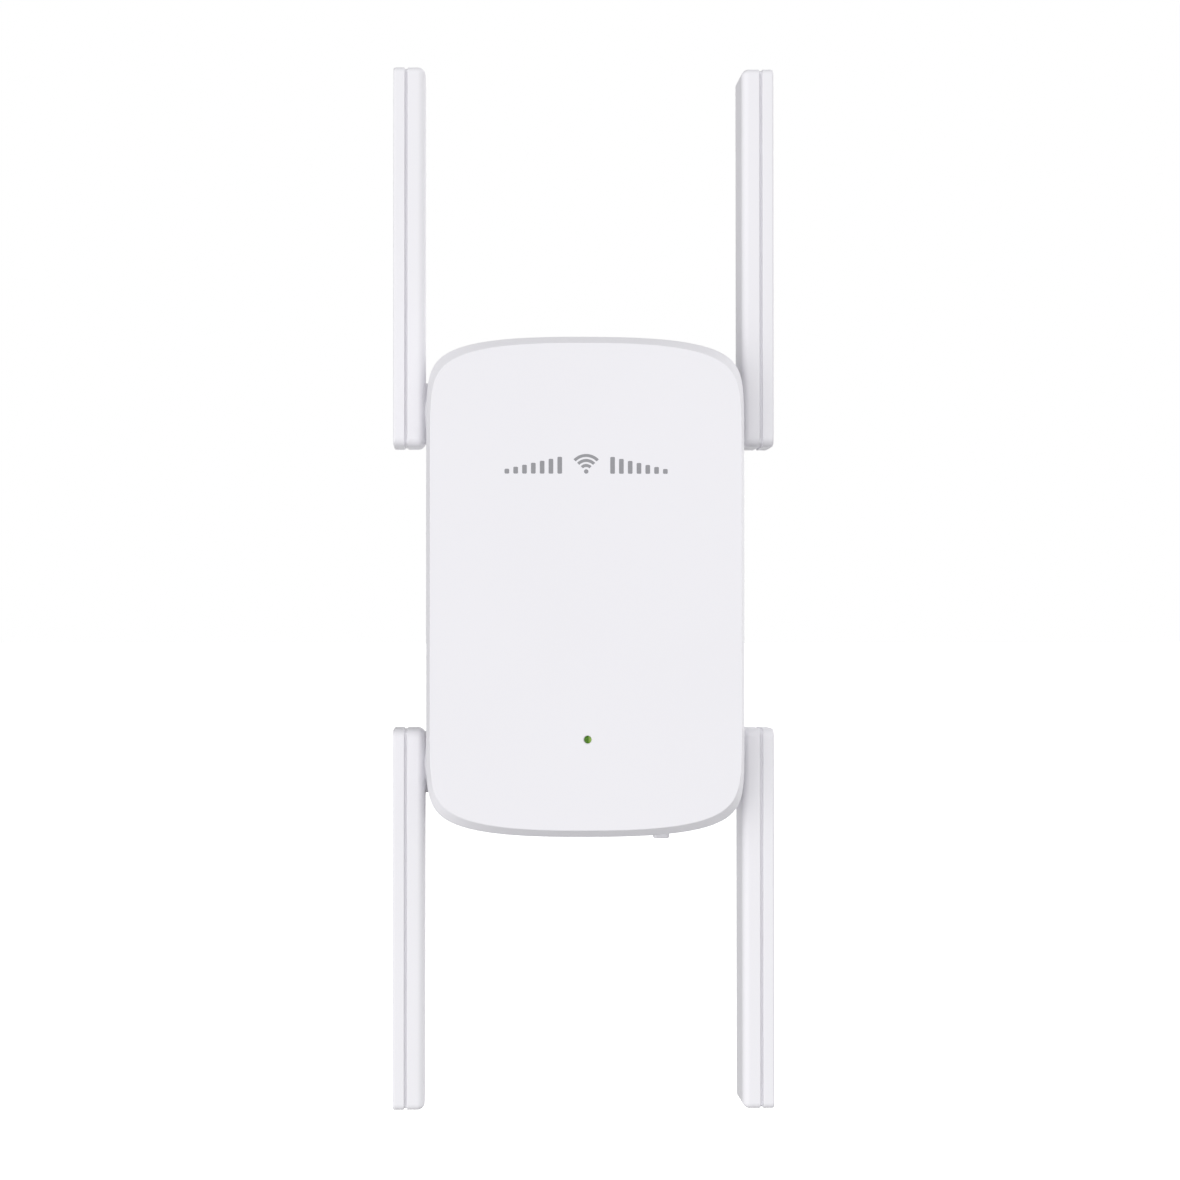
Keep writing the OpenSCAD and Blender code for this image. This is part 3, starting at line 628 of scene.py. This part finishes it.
# The finish of each material slot of the parts inside, but for the boards
INNER_FINISHES = {
    "led": plastic("led_resin", (0.8, 0.85, 0.6), roughness=0.15, drift=0.05),
    "screw_steel": metal("screw_steel", (0.62, 0.62, 0.63), 0.28),
    "shield_metal": metal(
        "shield_metal", (0.66, 0.66, 0.65), 0.26, stretch=(1, 1, 9), grime=0.18),
    "black_moulding": plastic(
        "black_moulding", (0.018, 0.018, 0.02), roughness=0.5, drift=0.2, depth=0.006),
    "gold_contacts": metal("gold_contacts", (0.86, 0.62, 0.26), 0.2, grime=0.1),
    "chip_black": plastic(
        "chip_black", (0.02, 0.02, 0.022), roughness=0.62, grain=0.1, drift=0.2, depth=0.008),
    "heat_sink": metal("heat_sink", (0.56, 0.57, 0.6), 0.42, depth=0.008),
    "plunger": plastic("plunger_plastic", (0.72, 0.68, 0.58), roughness=0.4, drift=0.05),
    "coax_jacket": plastic("coax_jacket", JET, roughness=0.45, grain=0.12, drift=0.2),
    "fuse_brown": plastic("fuse_brown", (0.075, 0.045, 0.03), roughness=0.4, drift=0.12),
    "disc_blue": plastic(
        "disc_blue", (0.02, 0.075, 0.3), roughness=0.25, grain=0.8, drift=0.12, depth=0.03),
    "can_sleeve": plastic(
        "can_sleeve", (0.02, 0.025, 0.05), roughness=0.28, grain=0.6, drift=0.15),
    "copper_winding": wound("copper_winding", (0.55, 0.2, 0.07), 0.7, (1, 0.1, 1)),
    "winding_tape": wound(
        "winding_tape", (0.72, 0.5, 0.05), 2.2, (1, 0.1, 0.1), metallic=0.0),
    "ferrite": plastic(
        "ferrite", (0.03, 0.03, 0.033), roughness=0.6, grain=0.3, drift=0.25, depth=0.012),
    "coupler_white": plastic(
        "coupler_white", (0.78, 0.78, 0.75), roughness=0.5, grain=0.15, drift=0.04),
    "clip_steel": metal("clip_steel", (0.42, 0.43, 0.46), 0.3),
    "ring_grey": plastic(
        "ring_grey", (0.1, 0.105, 0.115), roughness=0.65, grain=0.2, drift=0.15, depth=0.006),
}
green_board = circuit_board("circuit_board")
aerial_board = dipole_board("dipole_board")

# ---------------------------------------------------------------------------------------------
# Casing
# ---------------------------------------------------------------------------------------------


def sloped_border():
    """(share of the border's width, depth behind the face) from the face to the side."""
    start, top, bottom, end = (1.1, 0), (0.95, 0.22), (0.1, 2.7), (0, BORDER_DEPTH)
    slope = (bottom[0] - top[0]) / (bottom[1] - top[1])
    upper_corner = (top[0] - slope * top[1], 0)
    lower_corner = (0, bottom[1] - bottom[0] / slope)
    points = []
    for a, corner, b in ((start, upper_corner, top), (bottom, lower_corner, end)):
        for t in np.linspace(0, 1, 7):
            weighted = tuple(zip(((1 - t) ** 2, 2 * t * (1 - t), t ** 2), (a, corner, b)))
            points.append(tuple(sum(w * p[k] for w, p in weighted) for k in (0, 1)))
    return points


def build_cover():
    """Front cover: one skin from the front face, round the rim, to the inside of the front wall."""
    inner_r = 0.6
    border = [(share * BORDER + COVER_DRAFT, front_y + d, END_POWER - share * FACE_FADE)
              for share, d in sloped_border()]
    path = [(i, seam_y - d) for i, d in reversed(edge(RIM_R, 4))]
    path += [(WALL - i, seam_y - d) for i, d in edge(RIM_R, 4)]
    path += [(WALL + i, front_y + WALL + d) for i, d in reversed(edge(inner_r, 4))]
    cover = loft("cover", [casing_ring(cover_half, *step) for step in border + path])
    flare = 0.2
    hole_r = LIGHT_R + LIGHT_GAP
    past = front_y + WALL + 1
    hole = [(front_y - flare, 0), (front_y - flare, hole_r + 2 * flare), (front_y + flare, hole_r)]
    hole += [(past, hole_r), (past, 0)]
    combine(cover, [lathe("hole", hole, 1, (light_x, 0, light_z), 48)], "DIFFERENCE")
    return cover


def bar(name, axis, centre, r, start, end):
    """Round bar, used to add to a shape or to cut from it."""
    return lathe(name, [(start, 0), (start, r), (end, r), (end, 0)], axis, centre, 64)


def hinge_places():
    return [(side, level) for side in (-1, 1) for level in (-1, 1)]


def corner_places(at):
    return [(sx * at[0], 0, sz * at[1]) for sx in (-1, 1) for sz in (-1, 1)]


def build_housing():
    """Rear housing: back wall, sides and lip as one skin, with seats, posts and openings."""
    floor_r = 0.8
    seat_r = 0.4
    lip_chamfer = (0.3, 0.5)
    lip_y = seam_y - LIP_H
    step_y = seam_y + SEAM_GAP
    back = [(i + HOUSING_DRAFT, back_y - d) for i, d in edge(HOUSING_EDGE_R, 12)]
    rim = [(i, step_y + d) for i, d in reversed(edge(RIM_R, 4))]
    lip = [(0, step_y), (0, lip_y + lip_chamfer[1]), (lip_chamfer[0], lip_y)]
    cavity = [(0, lip_y)] + [(i, floor_y - d) for i, d in reversed(edge(floor_r, 4))]
    skin = ((housing_half, back + rim), (lip_half, lip), (housing_cavity_half, cavity))
    housing = loft("housing", [casing_ring(half, *step) for half, steps in skin for step in steps])

    board_y = box_mm("main_board")[1][1]
    power_y = box_mm("power_board")[1][1]
    added = []
    for side, level in hinge_places():
        ends = [(seat_x - SEAT_LEN, 0), (seat_x - SEAT_LEN, SEAT_R)]
        ends += [(seat_x - d, SEAT_R - i) for i, d in reversed(edge(seat_r, 4))]
        ends += [(seat_x, 0)]
        seat = lathe("seat", ends, 0, (0, hinge_y, hinge_z))
        added.append(mirrored(seat, "seat", side, level))
        bpy.data.objects.remove(seat)
    for centre in corner_places(POSTS):
        added.append(bar("post", 1, centre, POST_R, board_y, floor_y + OVERLAP))
    for centre in corner_places(STANDOFFS):
        added.append(bar("standoff", 1, centre, STANDOFF_R, power_y, floor_y + OVERLAP))
    combine(housing, added, "UNION")

    cut = []
    past = 1
    margin = STOP_HALF + STOP_PLAY
    groove_start = STOP_ANGLE - margin
    groove_sweep = TRAVEL + 2 * margin
    groove_r = (STOP_R[0] - STOP_CLEARANCE, STOP_R[1] + STOP_CLEARANCE)
    groove_x0 = seat_x - STOP_H - 0.2
    for side, level in hinge_places():
        centre = (0, hinge_y, hinge_z)
        bore = bar("bore", 0, centre, SPINDLE_R + SPINDLE_CLEARANCE, seat_x - 10, seat_x + past)
        groove = sector(
            "groove", *groove_r, groove_start, groove_sweep, groove_x0, seat_x + past, 24)
        for tool in (bore, groove):
            cut.append(mirrored(tool, "tool", side, level))
            bpy.data.objects.remove(tool)
    for centre in corner_places(POSTS):
        cut.append(bar("pilot", 1, centre, PILOT_R, board_y - 0.5, board_y + PILOT_DEPTH))
    for centre in corner_places(STANDOFFS):
        cut.append(bar("pilot", 1, centre, PILOT_R, power_y - 0.5, back_y - PILOT_SKIN))
    flare = 0.25
    window = [(floor_y - past, oval(PLUG_GAP)), (back_y - flare, oval(PLUG_GAP))]
    window += [(back_y + flare, oval(PLUG_GAP + 2 * flare))]
    cut.append(prism("plug_window", window, 1))
    bottom = -housing_half[1]
    port_size = [jack_high[k] - jack_low[k] + 2 * JACK_GAP for k in (0, 1)]
    port_mid = [(jack_low[k] + jack_high[k]) / 2 for k in (0, 1)]
    port = (*port_mid, port_size, jack_high[2] - JACK_DEPTH, bottom, JACK_GAP)
    cut.append(flared_slot("port", 2, *port))
    hole_size = [size + 2 * BUTTON_GAP for size in BUTTON_SIZE]
    hole = (button_x, button_y, hole_size, button_high[2] - 0.5, bottom, BUTTON_R + BUTTON_GAP)
    cut.append(flared_slot("button_hole", 2, *hole))
    for end in (-1, 1):
        for row in range(VENT_ROWS):
            z = end * (VENT_FIRST + row * VENT_PITCH)
            cut.append(flared_slot("vent", 1, 0, z, VENT_SIZE, floor_y - past, back_y, VENT_R))
    top = housing_half[1]
    for i in range(TOP_SLOTS):
        x = (i - (TOP_SLOTS - 1) / 2) * TOP_PITCH
        cut.append(flared_slot("slot", 2, x, hinge_y + 1, TOP_SIZE, top - TOP_DEPTH, top, VENT_R))
    combine(housing, cut, "DIFFERENCE")
    return housing


def build_signal_mark():
    """Printed mark on the cover: three signal arcs over a dot, between two rows of level bars."""
    thickness = 0.02
    base_z = 28.7
    line = 0.75
    dot_r = 0.55
    arc_radii = (1.5, 2.75, 4.0)
    arc_half = 46
    bar_w, bar_pitch, bar_start = 1.15, 2.2, 6.6
    bar_h, bar_drop, bar_count, bar_r = 4.2, 0.5, 7, 0.25
    y0, y1 = front_y - thickness, front_y + thickness

    def arc(r, angles):
        return [(r * math.cos(a), base_z + r * math.sin(a)) for a in angles]

    sweep = np.radians(np.linspace(90 - arc_half, 90 + arc_half, 21))
    outlines = [arc(r + line / 2, sweep) + arc(r - line / 2, sweep[::-1]) for r in arc_radii]
    outlines.append(arc(dot_r, np.linspace(0, 2 * math.pi, 24, endpoint=False)))
    for side in (-1, 1):
        for i in range(bar_count):
            x = side * (bar_start + i * bar_pitch)
            low = base_z - dot_r
            high = low + bar_h - i * bar_drop
            outlines.append(
                rounded_rect(x - bar_w / 2, x + bar_w / 2, low, high, bar_r, bar_r, 4))
    return joined([prism("mark", [(y0, outline), (y1, outline)], 1) for outline in outlines])


def build_light_pipe():
    """Clear pipe whose front end is slightly domed."""
    dome = 0.22
    chamfer = 0.1
    foot_r, foot_h = LIGHT_FOOT
    end = pipe_high[1]
    foot = end - foot_h
    across = np.linspace(0, LIGHT_R - chamfer, 6)
    profile = [(front_y + dome * (r / LIGHT_R) ** 2, r) for r in across]
    profile += [(front_y + dome + chamfer, LIGHT_R), (foot, LIGHT_R), (foot, foot_r - chamfer)]
    profile += [(foot + chamfer, foot_r), (end, foot_r), (end, 0)]
    return lathe("pipe", profile, 1, (light_x, 0, light_z), 48)


def build_button():
    """Push button: crowned tip, straight shank and a flange inside the casing."""
    tip_r, tip_squash, chamfer = 0.55, 0.9, 0.1
    tip = button_low[2]
    flange = button_high[2] - BUTTON_FLANGE_T

    def at(size, inset, r):
        a, b = size[0] / 2 - inset, size[1] / 2 - inset
        return rounded_rect(button_x - a, button_x + a, button_y - b, button_y + b, r, r, 8)

    crown = edge(tip_r, 6)
    rings = [(tip + d * tip_squash, at(BUTTON_SIZE, i, max(BUTTON_R - i, 0.2))) for i, d in crown]
    rings.append((flange - chamfer, at(BUTTON_SIZE, 0, BUTTON_R)))
    rings.append((flange, at(BUTTON_SIZE, -chamfer, BUTTON_R)))
    rings.append((flange, at(BUTTON_FLANGE, chamfer, 0.2)))
    for z in (flange + chamfer, flange + BUTTON_FLANGE_T):
        rings.append((z, at(BUTTON_FLANGE, 0, LEAST_R)))
    return prism("button", rings, 2)


# ---------------------------------------------------------------------------------------------
# Plug
# ---------------------------------------------------------------------------------------------


def build_plug_base():
    """Oval plug base with a softened top edge, a flange inside and a stepped bore for each pin."""
    edge_r = 0.7
    flare = 0.2
    start, step, end = plug_low[1], sleeves_low[1], plug_high[1]
    rings = [(start, oval(FLANGE_RIM)), (start + FLANGE_T, oval(FLANGE_RIM))]
    rings += [(start + FLANGE_T, oval(0))]
    rings += [(end - d, oval(-i)) for i, d in reversed(edge(edge_r, 8))]
    base = prism("plug", rings, 1)
    profile = [(start - 1, 0), (start - 1, PIN_CORE_R), (step, PIN_CORE_R), (step, SLEEVE_R)]
    profile += [(end - flare, SLEEVE_R), (end + flare, SLEEVE_R + 2 * flare), (end + flare, 0)]
    bores = [lathe("bore", profile, 1, (side * PIN_X, 0, 0), 64) for side in (-1, 1)]
    combine(base, bores, "DIFFERENCE")
    return base


def build_pins():
    """Two pins: solder tail, core, and a bare tip with a rounded nose."""
    tail_r, tail_chamfer, tip_chamfer = 0.8, 0.15, 0.1
    nose, nose_turn, nose_flat = 1.15, 78, 0.45
    start, core, tip, end = pins_low[1], plug_low[1], sleeves_high[1], pins_high[1]
    profile = [(start, 0), (start, tail_r - tail_chamfer), (start + tail_chamfer, tail_r)]
    profile += [(core, tail_r), (core, PIN_CORE_R), (tip, PIN_CORE_R), (tip, PIN_R - tip_chamfer)]
    profile += [(tip + tip_chamfer, PIN_R)]
    for t in np.radians(np.linspace(0, nose_turn, 12)):
        along = end - nose + nose * math.sin(t)
        profile.append((along, PIN_R * (1 - 0.5 * (1 - math.cos(t)))))
    profile += [(end, PIN_R * nose_flat), (end, 0)]
    return joined([lathe("pin", profile, 1, (side * PIN_X, 0, 0), 64) for side in (-1, 1)])


def build_sleeves():
    """Insulating sleeves, a little thinner at their free end."""
    start, end = sleeves_low[1], sleeves_high[1]
    outer = [(start, 0), (start, SLEEVE_R), (end - 0.25, SLEEVE_R), (end - 0.07, SLEEVE_R - 0.07)]
    outer += [(end, SLEEVE_R - 0.2), (end, 0)]
    sleeves = []
    for side in (-1, 1):
        centre = (side * PIN_X, 0, 0)
        sleeve = lathe("sleeve", outer, 1, centre, 64)
        combine(sleeve, [bar("core", 1, centre, PIN_CORE_R, start - 1, end + 1)], "DIFFERENCE")
        sleeves.append(sleeve)
    return joined(sleeves)


# ---------------------------------------------------------------------------------------------
# Antennas
# ---------------------------------------------------------------------------------------------


def build_outer_shell():
    """Outer half of a blade, with the tongue that enters the inner half."""
    chamfer = 0.2
    rim_x = groove_x + GROOVE_W
    skin_x = blade_x1 - BLADE_SKIN
    tongue = BLADE_WALL + TONGUE_GAP
    inside = tongue + TONGUE
    path = [(i, blade_x1 - d) for i, d in edge(OUTER_EDGE_R, 8)]
    path += [(i, rim_x + d) for i, d in reversed(edge(GROOVE_LIP_R, 4))]
    path += [(tongue, rim_x), (tongue, groove_x + chamfer), (tongue + chamfer, groove_x)]
    path += [(inside, groove_x), (inside, skin_x - FILLET), (inside + FILLET, skin_x)]
    return loft("outer", [blade_ring(inset, x) for inset, x in path])


def build_inner_shell():
    """Inner half of a blade, with its round boss and the hollow spindle that turns in the
    casing."""
    skin_x = blade_x0 + BLADE_SKIN
    outside = [(i, blade_x0 + d) for i, d in edge(INNER_EDGE_R, 10)]
    outside += [(i, groove_x - d) for i, d in reversed(edge(GROOVE_LIP_R, 4))]
    groove = [(GROOVE_D, x, GROOVE_END_D) for x in (groove_x, groove_x + GROOVE_W)]
    inside = [(BLADE_WALL, groove_x + GROOVE_W), (BLADE_WALL, skin_x + FILLET)]
    inside += [(BLADE_WALL + FILLET, skin_x)]
    shell = loft("inner", [blade_ring(*step) for step in outside + groove + inside])

    chamfer = 0.3
    boss_edge_r = 0.45
    end_x = inner_low[0]
    clip_x = (clip_low[0] - END_PLAY, clip_high[0] + END_PLAY)
    boss_x = seat_x + BOSS_GAP
    inside_skin = blade_x0 + BLADE_SKIN * 0.6
    profile = [(end_x, 0), (end_x, SPINDLE_R - chamfer), (end_x + chamfer, SPINDLE_R)]
    profile += [(clip_x[0], SPINDLE_R), (clip_x[0], CLIP_GROOVE_R)]
    profile += [(clip_x[1], CLIP_GROOVE_R), (clip_x[1], SPINDLE_R), (boss_x, SPINDLE_R)]
    profile += [(boss_x + d, BOSS_R - i) for i, d in edge(boss_edge_r, 6)]
    profile += [(inside_skin, BOSS_R), (inside_skin, 0)]
    boss = lathe("boss", profile, 0, (0, hinge_y, hinge_z))
    lug_x = (boss_x - STOP_H, boss_x + 0.5)
    lug = sector("lug", *STOP_R, STOP_ANGLE - STOP_HALF, 2 * STOP_HALF, *lug_x, 6)
    combine(boss, [lug], "UNION")
    combine(shell, [boss], "UNION")
    bore = bar("bore", 0, (0, hinge_y, hinge_z), SPINDLE_BORE_R, end_x - 1, skin_x + 1)
    combine(shell, [bore], "DIFFERENCE")
    ribs = []
    rib_r = 0.05
    rib_y = (blade_y[0] + BLADE_WALL - OVERLAP, blade_y[1] - BLADE_WALL + OVERLAP)
    for up in RIBS:
        z = hinge_z + up
        rib = rounded_rect(*rib_y, z, z + RIB_T, rib_r, rib_r, 2)
        ribs.append(prism("rib", [(skin_x - OVERLAP, rib), (skin_x + RIB_H, rib)], 0))
    combine(shell, ribs, "UNION")
    return shell


# ---------------------------------------------------------------------------------------------
# Assembly
# ---------------------------------------------------------------------------------------------

piece(build_cover(), "casing_cover", "body", "cover_white", casing_front, "front_cover")
piece(build_housing(), "casing_housing", "body", "housing_white", casing_rear, "rear_housing")
piece(build_signal_mark(), "signal_mark", "body", None, ink)
piece(build_light_pipe(), "status_light", "body", "light_pipe", light_green, "light_pipe")
piece(build_button(), "push_button", "button", "button_white", button_white, "button_cap")
piece(build_plug_base(), "mains_plug_base", "body", "housing_white", casing_rear, "plug_base")
piece(build_pins(), "mains_pins", "body", "pin_metal", pin_metal, "plug_pins")
piece(build_sleeves(), "mains_pin_sleeves", "body", "sleeve_black", sleeve_black, "pin_sleeves")

outer_master = build_outer_shell()
inner_master = build_inner_shell()
for side, level in hinge_places():
    place_name = ("upper" if level > 0 else "lower") + ("_right" if side > 0 else "_left")
    body = place_name + "_antenna"
    for half, master in (("outer", outer_master), ("inner", inner_master)):
        name = f"{place_name}_blade_{half}"
        blade = mirrored(master, name, side, level)
        piece(blade, name, body, "antenna_white", antenna_white, f"{place_name}_{half}_shell")
bpy.data.objects.remove(outer_master)
bpy.data.objects.remove(inner_master)


def soften(obj, width):
    """Closes the imported mesh's seams and rounds its sharp edges slightly, as modifiers."""
    weld = obj.modifiers.new("weld", "WELD")
    weld.merge_threshold = 0.002 * MM
    bevel = obj.modifiers.new("bevel", "BEVEL")
    bevel.width = width * MM
    bevel.segments = 2
    bevel.limit_method = "ANGLE"
    bevel.angle_limit = math.radians(50)
    bevel.harden_normals = True


SOFT_EDGED = (
    "shield_metal", "black_moulding", "chip_black", "fuse_brown", "coupler_white", "ferrite",
)
SOFT_EDGE = 0.12
node_slots = {row["node"]: row["material_slot"] for row in frame["record"]["subparts"]}
for node, obj in frame["nodes"].items():
    if obj.hide_render:
        continue
    slot_name = node_slots[node]
    if slot_name == "board":
        material = aerial_board if "radiator" in node else green_board
    else:
        material = INNER_FINISHES[slot_name]
    obj.data.materials.clear()
    obj.data.materials.append(material)
    if slot_name in SOFT_EDGED:
        soften(obj, SOFT_EDGE)

# ---------------------------------------------------------------------------------------------
# Floor, light and camera
# ---------------------------------------------------------------------------------------------

scene = bpy.context.scene
scene.view_settings.view_transform = "Standard"


def build_floor():
    """Plain white floor, bright enough that it meets the white background without a line."""
    size = 60
    floor_z = -0.2
    corners = ((-size, -size), (size, -size), (size, size), (-size, size))
    points = [(x / MM, y / MM, floor_z / MM) for x, y in corners]
    floor = make_object("floor", points, [(0, 1, 2, 3)])
    material = bpy.data.materials.new("floor_white")
    material.use_nodes = True
    tree = material.node_tree
    shader = tree.nodes["Principled BSDF"]
    shader.inputs["Base Color"].default_value = (0.9, 0.9, 0.9, 1)
    shader.inputs["Roughness"].default_value = 0.9
    shader.inputs["Emission Color"].default_value = (1, 1, 1, 1)
    shader.inputs["Emission Strength"].default_value = 1.0
    floor.data.materials.append(material)
    floor.visible_diffuse = False
    floor.visible_glossy = False
    floor.visible_shadow = False


def build_world():
    """White background to the camera. It lights the object softly: most from the front and its
    left, less from above, and least from below. Its strength is a polynomial of the direction."""
    world = bpy.data.worlds.new("studio")
    scene.world = world
    world.use_nodes = True
    tree = world.node_tree
    tree.nodes.clear()
    direction = add(tree, "TexCoord").outputs["Generated"]
    split = add(tree, "SeparateXYZ", {0: direction})
    x, y, z = (split.outputs[k] for k in "XYZ")
    base = 0.133
    right, forward, up = 0.1, -0.25, 0.14
    along_depth, along_width, left_front, low_left = 1.0, 0.8, 1.1, 0.7
    light = maths(tree, "MULTIPLY_ADD", x, right)
    light.node.inputs[2].default_value = base
    pairs = ((y, y), (x, x), (x, y), (x, z))
    depth, width, diagonal, slant = (maths(tree, "MULTIPLY", a, b) for a, b in pairs)
    terms = ((y, forward), (z, up), (depth, along_depth), (width, along_width))
    terms += ((diagonal, left_front), (slant, low_left))
    for value, factor in terms:
        step = maths(tree, "MULTIPLY_ADD", value, factor)
        tree.links.new(light, step.node.inputs[2])
        light = step
    lit = add(tree, "Background", {"Color": (0.995, 0.995, 1.0, 1), "Strength": light}).outputs[0]
    seen = add(tree, "Background", {"Color": (1, 1, 1, 1), "Strength": 1.0}).outputs[0]
    is_camera = add(tree, "LightPath").outputs["Is Camera Ray"]
    shown = add(tree, "MixShader", {0: is_camera, 1: lit, 2: seen}).outputs[0]
    output = tree.nodes.new("ShaderNodeOutputWorld")
    tree.links.new(shown, output.inputs["Surface"])


def build_camera():
    """Camera in front, a little left of the middle and below it, and turned most of the way to it.
    Its lens is shifted by the rest, so the object's upright edges stay nearly parallel."""
    lens, sensor = 88.15, 36
    distance = 720
    x, z = -33, -12
    centre_x, centre_z = 0.95, -0.9
    yaw, pitch = math.radians(1.8), math.radians(0.88)
    view_size = distance * sensor / lens
    data = bpy.data.cameras.new("camera")
    data.lens = lens
    data.sensor_width = sensor
    data.shift_x = math.tan(math.atan((centre_x - x) / distance) - yaw) * distance / view_size
    data.shift_y = math.tan(math.atan((centre_z - z) / distance) - pitch) * distance / view_size
    data.clip_start, data.clip_end = 0.05, 100
    camera = bpy.data.objects.new("camera", data)
    scene.collection.objects.link(camera)
    camera.location = Vector((x, front_y - distance, z)) * MM
    camera.rotation_euler = (math.pi / 2 + pitch, 0, -yaw)
    scene.camera = camera


build_floor()
build_world()
build_camera()
